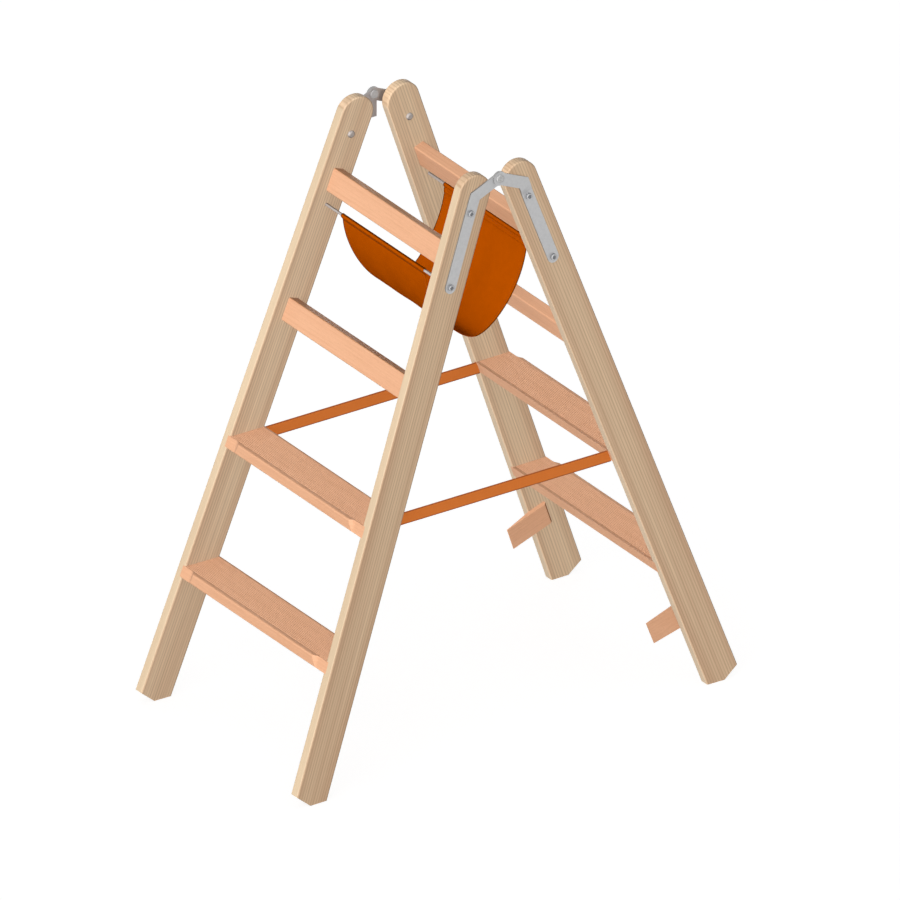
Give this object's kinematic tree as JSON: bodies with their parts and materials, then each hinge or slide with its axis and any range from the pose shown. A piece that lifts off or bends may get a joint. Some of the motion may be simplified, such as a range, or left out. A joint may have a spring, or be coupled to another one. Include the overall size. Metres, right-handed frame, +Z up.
{
  "type": "wooden stepladder",
  "caption": "Double-sided folding wooden stepladder with ribbed steps, rungs, steel hinge plates, webbing straps and a fabric tool sling hung between tie rods.",
  "frame": {"origin": "on the floor, midway between the four feet and below the hinge", "axes": "+X along the rungs, +Y towards the rear frame, +Z up"},
  "size_m": [0.5634, 1.028, 1.2179],
  "materials": {
    "stile_wood": "planed softwood, clear lacquer",
    "tread_wood": "planed hardwood, clear lacquer",
    "plate_steel": "zinc plated",
    "rod_steel": "zinc plated",
    "sling_fabric": "woven, orange",
    "strap_webbing": "woven webbing, orange"
  },
  "bodies": {
    "front_frame": {"front_stile_right": "stile_wood", "front_stile_left": "stile_wood", "front_rung_upper": "tread_wood", "front_rung_lower": "tread_wood", "front_step_upper": "tread_wood", "front_step_lower": "tread_wood", "front_tie_rod": "rod_steel", "front_rod_caps": "rod_steel", "front_hinge_bolts": "rod_steel", "front_bolt_nuts": "rod_steel", "front_hinge_plate_right": "plate_steel", "front_hinge_plate_left": "plate_steel", "hinge_pivot_right": "rod_steel", "hinge_pivot_left": "rod_steel", "front_strap_pins": "rod_steel", "tool_sling": "sling_fabric", "strap_right": "strap_webbing", "strap_left": "strap_webbing"},
    "rear_frame": {"rear_stile_right": "stile_wood", "rear_stile_left": "stile_wood", "rear_rung_upper": "tread_wood", "rear_rung_lower": "tread_wood", "rear_step_upper": "tread_wood", "rear_step_lower": "tread_wood", "rear_tie_rod": "rod_steel", "rear_rod_caps": "rod_steel", "rear_hinge_bolts": "rod_steel", "rear_bolt_nuts": "rod_steel", "rear_hinge_plate_right": "plate_steel", "rear_hinge_plate_left": "plate_steel", "guide_cleat_right": "tread_wood", "guide_cleat_left": "tread_wood", "rear_strap_pins": "rod_steel"}
  },
  "joints": [
    {"name": "fold", "type": "hinge", "parent": "front_frame", "child": "rear_frame", "pos_m": [0, 0, 1.19964], "axis": [-1, 0, 0], "range_deg": [0, 40], "deforming": ["tool_sling", "strap_right", "strap_left"]}
  ]
}
